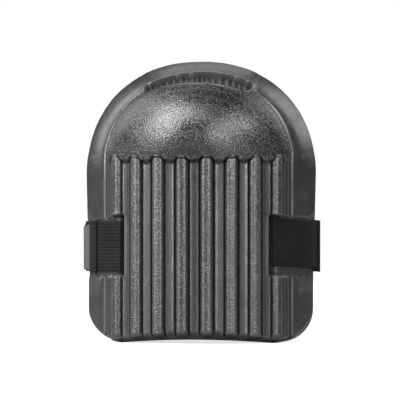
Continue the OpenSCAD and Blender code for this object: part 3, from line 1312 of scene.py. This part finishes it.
@dataclass
class Effects:
    """The surface effects that several finishes share."""

    grain: bpy.types.NodeTree = field(default_factory=lambda: Effects.make_grain())
    weave: bpy.types.NodeTree = field(default_factory=lambda: Effects.make_weave())
    dust: bpy.types.NodeTree = field(default_factory=lambda: Effects.make_dust())

    @staticmethod
    def make_grain() -> bpy.types.NodeTree:
        """Fine moulded grain: beads of uneven brightness with pits between them.

        Returns:
            A group with a height for bump and a speckle for colour.
        """
        inputs = {"Place": None, "Scale": 900.0, "Amount": 1.0}
        graph = new_group("grain", inputs, ("Height", "Speckle"))
        given = group_inputs(graph)
        place = graph.add("Mapping", {"Vector": given["Place"], "Rotation": (0.6155, 0.0, 0.7854)})
        turned = place.outputs["Vector"]
        at = {"Vector": turned, "Scale": given["Scale"]}
        fine = graph.add("TexNoise", at | {"Detail": 2.0, "Roughness": 0.6})
        beads = graph.add("TexVoronoi", at | {"Randomness": 1.0}, feature="F1")
        bead = graph.span(beads.outputs["Distance"], 0.12, 0.6, 1.0, 0.0)
        bright = graph.add("SeparateColor", {0: beads.outputs["Color"]}).outputs[0]
        part = graph.math("MULTIPLY", bead, 0.55)
        mixed = graph.math("ADD", part, graph.math("MULTIPLY", fine.outputs["Fac"], 0.6))
        height = graph.math("MULTIPLY", graph.math("SUBTRACT", mixed, 0.6), given["Amount"])
        speckle = graph.math("MULTIPLY", bead, graph.math("POWER", bright, 2.0))
        speckle = graph.math("MULTIPLY", speckle, given["Amount"])
        return finish_group(graph, {"Height": height, "Speckle": speckle})

    @staticmethod
    def make_weave() -> bpy.types.NodeTree:
        """Threads that cross a band: short floats in rows that are set off from one another.

        Returns:
            A group with a height for bump and a shade for colour.
        """
        inputs = {"Place": None, "Threads": 1500.0, "Depth": 1.0}
        graph = new_group("weave", inputs, ("Height", "Shade"))
        given = group_inputs(graph)
        split = graph.add("SeparateXYZ", {0: given["Place"]})
        along = graph.math("MULTIPLY", split.outputs[0], given["Threads"])
        across = graph.math("MULTIPLY", split.outputs[1], given["Threads"])
        step = graph.math("FLOOR", graph.math("MULTIPLY", across, 0.5))
        turned = graph.math("MULTIPLY", step, math.pi / 2)
        shift = graph.math("ADD", graph.math("MULTIPLY", along, math.pi), turned)
        float_up = graph.math("ABSOLUTE", graph.math("SINE", shift))
        ridge = graph.math("ABSOLUTE", graph.math("SINE", graph.math("MULTIPLY", across, math.pi)))
        fuzz = graph.add("TexNoise", {"Vector": given["Place"], "Scale": 2600.0, "Detail": 2.0})
        part = graph.math("MULTIPLY", float_up, 0.6)
        woven = graph.math("ADD", part, graph.math("MULTIPLY", ridge, 0.4))
        height = graph.math("ADD", woven, graph.math("MULTIPLY", fuzz.outputs["Fac"], 0.5))
        shade = graph.math("MULTIPLY", graph.math("MULTIPLY", woven, fuzz.outputs["Fac"]), 1.6)
        height = graph.math("MULTIPLY", height, given["Depth"])
        return finish_group(graph, {"Height": height, "Shade": shade})

    @staticmethod
    def make_dust() -> bpy.types.NodeTree:
        """Faint handling marks and dust in large, soft patches with a fine break-up.

        Returns:
            A group with a mask.
        """
        graph = new_group("dust", {"Place": None, "Amount": 0.3}, ("Mask",))
        given = group_inputs(graph)
        patch = graph.add("TexNoise", {"Vector": given["Place"], "Scale": 38.0, "Detail": 3.0})
        speck = graph.add("TexNoise", {"Vector": given["Place"], "Scale": 1300.0, "Detail": 1.0})
        broad = graph.span(patch.outputs["Fac"], 0.42, 0.7, 0.0, 1.0)
        fine = graph.span(speck.outputs["Fac"], 0.5, 0.75, 0.15, 1.0)
        mask = graph.math("MULTIPLY", graph.math("MULTIPLY", broad, fine), given["Amount"])
        return finish_group(graph, {"Mask": mask})


def start_material(name: str) -> tuple[bpy.types.Material, Graph, bpy.types.Node]:
    """A new material with its graph and its shader.

    Args:
        name: The material's name.

    Returns:
        The material, its graph and its shader.
    """
    material = bpy.data.materials.new(name)
    material.use_nodes = True
    return material, Graph(material.node_tree), material.node_tree.nodes["Principled BSDF"]


def grey(value: float, warmth: float = 0.0) -> tuple[float, float, float, float]:
    """A near-neutral colour, bluer where warmth is negative."""
    return (value * (1.0 + warmth), value, value * (1.0 - warmth), 1.0)


@dataclass(frozen=True)
class FoamFinish:
    """Charcoal closed-cell foam with a moulded grain, smoother and more even on the rim; its colour
    holds a painted highlight on raised edges and painted shade in grooves and the recess.
    """

    dark: float = 0.003
    light: float = 0.055
    # Colour of the painted highlight on raised edges.
    painted_highlight: float = 0.075
    # Colour of the painted shade in grooves and the recess.
    painted_shade: float = 0.0005
    rough: float = 0.24
    bump: float = 1.0
    grain_scale: float = 740.0
    dust: float = 0.12

    def material(self, effects: Effects) -> bpy.types.Material:
        """Makes the foam's material.

        Args:
            effects: The shared effects.

        Returns:
            The material.
        """
        material, graph, shader = start_material("charcoal_foam")
        place = graph.add("TexCoord").outputs["Object"]
        grain_mark = graph.add("Attribute", attribute_name="grain").outputs["Fac"]
        painted_highlight_mark = graph.add("Attribute", attribute_name="painted_highlight").outputs["Fac"]
        painted_shade_mark = graph.add("Attribute", attribute_name="painted_shade").outputs["Fac"]
        coarse = {"Place": place, "Scale": self.grain_scale, "Amount": grain_mark}
        grain = graph.group(effects.grain, coarse)
        dust = graph.group(effects.dust, {"Place": place, "Amount": self.dust})
        speckle, dusty = grain.outputs["Speckle"], dust.outputs["Mask"]
        even = graph.math("MULTIPLY", graph.math("SUBTRACT", 1.0, grain_mark), 0.2)
        tone = graph.blend(graph.math("ADD", speckle, even), grey(self.dark), grey(self.light))
        # Painted highlight: the foam's colour is lightened on raised edges, where light catches
        # them.
        tone = graph.blend(graph.math("MULTIPLY", painted_highlight_mark, 0.5), tone, grey(self.painted_highlight))
        tone = graph.blend(dusty, tone, grey(0.1, 0.01))
        # Painted shade: the foam's colour is darkened nearly to black in grooves and the recess,
        # which are also made rougher.
        tone = graph.blend(painted_shade_mark, tone, grey(self.painted_shade))
        rough = graph.math("ADD", graph.math("MULTIPLY", speckle, -0.1), self.rough + 0.04)
        rough = graph.math("ADD", rough, graph.math("MULTIPLY", dusty, 0.3))
        rough = graph.math("ADD", rough, graph.math("MULTIPLY", painted_shade_mark, 0.6))
        normal = graph.bump(grain.outputs["Height"], self.bump, 0.00023)
        graph.fill(shader, {"Base Color": tone, "Roughness": rough, "Normal": normal})
        shader.inputs["Specular IOR Level"].default_value = 0.5
        return material


@dataclass(frozen=True)
class WovenFinish:
    """Woven webbing, tape or thread, which reads the band's own surface coordinates."""

    name: str
    kind: Weaving
    dark: float
    light: float
    threads: float
    rough: float
    sheen: float

    def material(self, effects: Effects) -> bpy.types.Material:
        """Makes the woven material.

        Args:
            effects: The shared effects.

        Returns:
            The material.
        """
        material, graph, shader = start_material(self.name)
        place = graph.add("TexCoord").outputs["UV"]
        threads = {"Place": place, "Threads": self.threads, "Depth": self.kind.value}
        weave = graph.group(effects.weave, threads)
        at = graph.add("TexCoord").outputs["Object"]
        dust = graph.group(effects.dust, {"Place": at, "Amount": 0.1})
        shade = weave.outputs["Shade"]
        tone = graph.blend(shade, grey(self.dark, -0.03), grey(self.light, -0.03))
        tone = graph.blend(dust.outputs["Mask"], tone, grey(0.1))
        rough = graph.math("ADD", graph.math("MULTIPLY", shade, 0.12), self.rough)
        normal = graph.bump(weave.outputs["Height"], 0.6, 0.00012)
        graph.fill(shader, {"Base Color": tone, "Roughness": rough, "Normal": normal})
        shader.inputs["Sheen Weight"].default_value = self.sheen
        shader.inputs["Sheen Roughness"].default_value = 0.5
        shader.inputs["Specular IOR Level"].default_value = 0.06
        return material


@dataclass(frozen=True)
class HookFinish:
    """Black nylon hook tape, slightly glossy."""

    tone: float = 0.018
    rough: float = 0.42

    def material(self, effects: Effects) -> bpy.types.Material:
        """Makes the hook tape's material.

        Args:
            effects: The shared effects.

        Returns:
            The material.
        """
        material, graph, shader = start_material("hook_nylon")
        place = graph.add("TexCoord").outputs["Object"]
        grain = graph.group(effects.grain, {"Place": place, "Scale": 1400.0, "Amount": 0.6})
        speckle = grain.outputs["Speckle"]
        tone = graph.blend(speckle, grey(self.tone), grey(self.tone * 2.2))
        rough = graph.math("ADD", graph.math("MULTIPLY", speckle, 0.15), self.rough)
        normal = graph.bump(grain.outputs["Height"], 0.35, 0.0001)
        graph.fill(shader, {"Base Color": tone, "Roughness": rough, "Normal": normal})
        return material


# ---------------------------------------------------------------- camera, light and floor


@dataclass
class Studio:
    """A pale floor, soft lights and the camera."""

    frame_width: float = 294.5 * MM
    distance: float = 2.4
    azimuth: float = 5.5
    floor_glow: float = 0.7
    floor_tone: float = 0.25
    ambient: float = 0.015
    light_distance: float = 1.7
    aim: Vector = field(default_factory=lambda: Vector((-1.2 * MM, 28.0 * MM, 103.7 * MM)))

    def camera(self) -> None:
        """Adds the camera, square on to the pad's front and a little to its right."""
        turn = math.radians(self.azimuth)
        back = Vector((math.sin(turn), -math.cos(turn), 0.0))
        data = bpy.data.cameras.new("camera")
        data.sensor_width = 36.0
        data.lens = data.sensor_width * self.distance / self.frame_width
        data.clip_end = 20.0
        camera = bpy.data.objects.new("camera", data)
        camera.location = self.aim + back * self.distance
        camera.rotation_mode = "QUATERNION"
        camera.rotation_quaternion = (-back).to_track_quat("-Z", "Y")
        bpy.context.scene.collection.objects.link(camera)
        bpy.context.scene.camera = camera

    def light(
        self, name: str, turn: float, height: float, size: tuple[float, float], power: float
    ) -> None:
        """Adds one softbox that faces the pad.

        Args:
            name: The light's name.
            turn: Its direction seen from the pad, in degrees to the right of the camera.
            height: Its middle's height above the floor.
            size: Its width and height.
            power: Its power in watts.
        """
        angle = math.radians(self.azimuth + turn)
        away = self.light_distance
        place = (away * math.sin(angle), -away * math.cos(angle), height)
        data = bpy.data.lights.new(name, "AREA")
        data.shape = "RECTANGLE"
        data.size, data.size_y = size
        data.energy = power
        lamp = bpy.data.objects.new(name, data)
        lamp.location = place
        lamp.rotation_mode = "QUATERNION"
        lamp.rotation_quaternion = (self.aim - Vector(place)).to_track_quat("-Z", "Y")
        bpy.context.scene.collection.objects.link(lamp)

    def build(self) -> None:
        """Sets up everything round the object."""
        self.camera()
        for lamp in (
            ("left_softbox", -52.0, 1.3, (0.9, 2.6), 150.0),
            ("right_softbox", 20.0, 0.45, (0.6, 0.9), 24.0),
            ("upper_softbox", 46.0, 1.2, (0.6, 0.8), 26.0),
            ("left_rim_light", -112.0, 1.2, (0.9, 1.8), 24.0),
            ("right_rim_light", 112.0, 1.3, (0.9, 1.6), 18.0),
            ("top_rim_light", 180.0, 2.6, (2.0, 0.9), 12.0),
            ("top_softbox", -10.0, 2.4, (1.4, 0.8), 26.0),
        ):
            self.light(*lamp)
        world = bpy.data.worlds.new("studio")
        world.use_nodes = True
        world.node_tree.nodes.clear()
        graph = Graph(world.node_tree)
        white = grey(1.0)
        seen = graph.add("Background", {"Color": white, "Strength": 1.0})
        lit = graph.add("Background", {"Color": white, "Strength": self.ambient})
        straight = graph.add("LightPath").outputs["Is Camera Ray"]
        mix = graph.add("MixShader", {"Fac": straight, 1: lit.outputs[0], 2: seen.outputs[0]})
        graph.add("OutputWorld", {"Surface": mix.outputs["Shader"]})
        bpy.context.scene.world = world
        bpy.context.scene.view_settings.view_transform = "Standard"
        self.floor()

    def floor(self) -> None:
        """Adds the plain pale floor under the pad."""
        deselect_all()
        bpy.ops.mesh.primitive_plane_add(size=40.0, location=(0.0, 0.0, 0.0))
        floor = bpy.context.active_object
        floor.name = "floor"
        material, graph, shader = start_material("pale_floor")
        graph.fill(shader, {"Base Color": grey(self.floor_tone), "Roughness": 0.9})
        place = graph.add("TexCoord").outputs["Object"]
        away = graph.add("VectorMath", {0: place}, operation="LENGTH").outputs["Value"]
        glow = graph.span(away, 0.25, 1.6, self.floor_glow, 1.0)
        seen = graph.math("MULTIPLY", glow, graph.add("LightPath").outputs["Is Camera Ray"])
        graph.fill(shader, {"Emission Color": grey(1.0), "Emission Strength": seen})
        floor.data.materials.append(material)


def main() -> None:
    """Builds the pad, its straps and the studio."""
    logging.basicConfig(level=logging.INFO)
    Studio().build()
    effects = Effects()
    finishes = {
        "foam": FoamFinish(),
        "elastic": WovenFinish("ribbed_elastic", Weaving.RIBBED, 0.0008, 0.006, 1600.0, 0.55, 0.03),
        "tape": WovenFinish("brushed_tape", Weaving.BRUSHED, 0.024, 0.052, 2400.0, 0.85, 0.1),
        "thread": WovenFinish("black_thread", Weaving.TWISTED, 0.004, 0.02, 3200.0, 0.5, 0.2),
        "hook": HookFinish(),
    }
    materials = {slot: finish.material(effects) for slot, finish in finishes.items()}
    shape = PadShape()
    straps = Straps(shape)
    for make, node, body, slot in (
        (shape.build, "pad_body", "pad", "foam"),
        (straps.right_loop, "right_loop", "pad", "elastic"),
        (straps.left_loop, "left_loop", "pad", "elastic"),
        (straps.hem_stitches, "hem_stitching", "pad", "thread"),
        (straps.long_strap, "long_strap", "strap", "elastic"),
        (straps.anchor_stitches, "anchor_stitching", "strap", "thread"),
        (straps.hook_tape, "hook_tape", "strap", "hook"),
        (straps.hook_stitches, "hook_stitching", "strap", "thread"),
        (straps.loop_tape, "loop_tape", "tab", "tape"),
        (straps.tape_stitches, "tape_stitching", "tab", "thread"),
    ):
        piece = make()
        smooth(piece, 45.0)
        dress(piece, materials[slot])
        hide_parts(node)
        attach(piece, body)
        log.info("%s: %d vertices", piece.name, len(piece.data.vertices))


if __name__ == "__main__":
    main()
